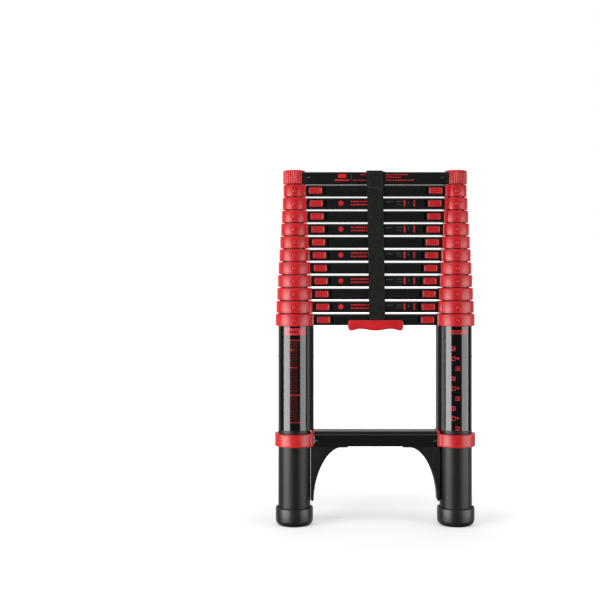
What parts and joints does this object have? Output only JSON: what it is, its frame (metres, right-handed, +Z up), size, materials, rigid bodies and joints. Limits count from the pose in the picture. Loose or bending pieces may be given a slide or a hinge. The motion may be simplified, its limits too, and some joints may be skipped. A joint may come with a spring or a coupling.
{
  "type": "telescoping ladder",
  "caption": "Telescoping ladder, collapsed, with nested round tubes, stacked rungs in moulded collars, thumb releases, an arched base and a carry strap",
  "frame": {"origin": "on the floor, midway between the two feet", "axes": "+X from the left stile to the right one seen from the front, -Y to the front, +Z up along the stiles"},
  "size_m": [0.5, 0.098, 0.88],
  "materials": {
    "black_aluminium": "black powder coat, satin",
    "red_plastic": "fine moulded texture, semi-matt",
    "black_rubber": "moulded, satin",
    "black_webbing": "woven webbing"
  },
  "bodies": {
    "base": {"stile_01_left": "black_aluminium", "stile_01_right": "black_aluminium", "rung_01": "black_aluminium", "bottom_rung": "black_aluminium", "bottom_clamp_left": "red_plastic", "bottom_clamp_right": "red_plastic", "arch_brace_left": "black_aluminium", "arch_brace_right": "black_aluminium", "side_strip_left": "black_aluminium", "side_strip_right": "black_aluminium", "foot_left": "black_rubber", "foot_right": "black_rubber", "carry_handle": "red_plastic"},
    "section_02": {"stile_02_left": "black_aluminium", "stile_02_right": "black_aluminium", "rung_02": "black_aluminium"},
    "section_03": {"stile_03_left": "black_aluminium", "stile_03_right": "black_aluminium", "rung_03": "black_aluminium"},
    "section_04": {"stile_04_left": "black_aluminium", "stile_04_right": "black_aluminium", "rung_04": "black_aluminium"},
    "section_05": {"stile_05_left": "black_aluminium", "stile_05_right": "black_aluminium", "rung_05": "black_aluminium"},
    "section_06": {"stile_06_left": "black_aluminium", "stile_06_right": "black_aluminium", "rung_06": "black_aluminium"},
    "section_07": {"stile_07_left": "black_aluminium", "stile_07_right": "black_aluminium", "rung_07": "black_aluminium"},
    "section_08": {"stile_08_left": "black_aluminium", "stile_08_right": "black_aluminium", "rung_08": "black_aluminium"},
    "section_09": {"stile_09_left": "black_aluminium", "stile_09_right": "black_aluminium", "rung_09": "black_aluminium"},
    "section_10": {"stile_10_left": "black_aluminium", "stile_10_right": "black_aluminium", "rung_10": "black_aluminium"},
    "section_11": {"stile_11_left": "black_aluminium", "stile_11_right": "black_aluminium", "rung_11": "black_aluminium"},
    "section_12": {"stile_12_left": "black_aluminium", "stile_12_right": "black_aluminium", "rung_12": "black_aluminium", "strap_keeper": "black_webbing"},
    "strap": {"carry_strap": "black_webbing"},
    "release_01_left": {"release_slider_01_left": "red_plastic"},
    "release_01_right": {"release_slider_01_right": "red_plastic"},
    "release_02_left": {"release_slider_02_left": "red_plastic"},
    "release_02_right": {"release_slider_02_right": "red_plastic"},
    "release_03_left": {"release_slider_03_left": "red_plastic"},
    "release_03_right": {"release_slider_03_right": "red_plastic"},
    "release_04_left": {"release_slider_04_left": "red_plastic"},
    "release_04_right": {"release_slider_04_right": "red_plastic"},
    "release_05_left": {"release_slider_05_left": "red_plastic"},
    "release_05_right": {"release_slider_05_right": "red_plastic"},
    "release_06_left": {"release_slider_06_left": "red_plastic"},
    "release_06_right": {"release_slider_06_right": "red_plastic"}
  },
  "joints": [
    {"name": "section_02_slide", "type": "slide", "parent": "base", "child": "section_02", "axis": [0, 0, 1], "range_m": [0, 0.26]},
    {"name": "section_03_slide", "type": "slide", "parent": "section_02", "child": "section_03", "axis": [0, 0, 1], "range_m": [0, 0.26]},
    {"name": "section_04_slide", "type": "slide", "parent": "section_03", "child": "section_04", "axis": [0, 0, 1], "range_m": [0, 0.26]},
    {"name": "section_05_slide", "type": "slide", "parent": "section_04", "child": "section_05", "axis": [0, 0, 1], "range_m": [0, 0.26]},
    {"name": "section_06_slide", "type": "slide", "parent": "section_05", "child": "section_06", "axis": [0, 0, 1], "range_m": [0, 0.26]},
    {"name": "section_07_slide", "type": "slide", "parent": "section_06", "child": "section_07", "axis": [0, 0, 1], "range_m": [0, 0.26]},
    {"name": "section_08_slide", "type": "slide", "parent": "section_07", "child": "section_08", "axis": [0, 0, 1], "range_m": [0, 0.26]},
    {"name": "section_09_slide", "type": "slide", "parent": "section_08", "child": "section_09", "axis": [0, 0, 1], "range_m": [0, 0.26]},
    {"name": "section_10_slide", "type": "slide", "parent": "section_09", "child": "section_10", "axis": [0, 0, 1], "range_m": [0, 0.26]},
    {"name": "section_11_slide", "type": "slide", "parent": "section_10", "child": "section_11", "axis": [0, 0, 1], "range_m": [0, 0.26]},
    {"name": "section_12_slide", "type": "slide", "parent": "section_11", "child": "section_12", "axis": [0, 0, 1], "range_m": [0, 0.26]},
    {"name": "strap_fold", "type": "hinge", "parent": "base", "child": "strap", "pos_m": [0.004, -0.0255, 0.51], "axis": [1, 0, 0], "range_deg": [0, 180]},
    {"name": "release_01_left_slide", "type": "slide", "parent": "base", "child": "release_01_left", "axis": [1, 0, 0], "range_m": [0, 0.008], "stiffness_N_per_m": 150},
    {"name": "release_01_right_slide", "type": "slide", "parent": "base", "child": "release_01_right", "axis": [-1, 0, 0], "range_m": [0, 0.008], "stiffness_N_per_m": 150},
    {"name": "release_02_left_slide", "type": "slide", "parent": "section_02", "child": "release_02_left", "axis": [1, 0, 0], "range_m": [0, 0.008], "stiffness_N_per_m": 150},
    {"name": "release_02_right_slide", "type": "slide", "parent": "section_02", "child": "release_02_right", "axis": [-1, 0, 0], "range_m": [0, 0.008], "stiffness_N_per_m": 150},
    {"name": "release_03_left_slide", "type": "slide", "parent": "section_03", "child": "release_03_left", "axis": [1, 0, 0], "range_m": [0, 0.008], "stiffness_N_per_m": 150},
    {"name": "release_03_right_slide", "type": "slide", "parent": "section_03", "child": "release_03_right", "axis": [-1, 0, 0], "range_m": [0, 0.008], "stiffness_N_per_m": 150},
    {"name": "release_04_left_slide", "type": "slide", "parent": "section_04", "child": "release_04_left", "axis": [1, 0, 0], "range_m": [0, 0.008], "stiffness_N_per_m": 150},
    {"name": "release_04_right_slide", "type": "slide", "parent": "section_04", "child": "release_04_right", "axis": [-1, 0, 0], "range_m": [0, 0.008], "stiffness_N_per_m": 150},
    {"name": "release_05_left_slide", "type": "slide", "parent": "section_05", "child": "release_05_left", "axis": [1, 0, 0], "range_m": [0, 0.008], "stiffness_N_per_m": 150},
    {"name": "release_05_right_slide", "type": "slide", "parent": "section_05", "child": "release_05_right", "axis": [-1, 0, 0], "range_m": [0, 0.008], "stiffness_N_per_m": 150},
    {"name": "release_06_left_slide", "type": "slide", "parent": "section_06", "child": "release_06_left", "axis": [1, 0, 0], "range_m": [0, 0.008], "stiffness_N_per_m": 150},
    {"name": "release_06_right_slide", "type": "slide", "parent": "section_06", "child": "release_06_right", "axis": [-1, 0, 0], "range_m": [0, 0.008], "stiffness_N_per_m": 150}
  ]
}
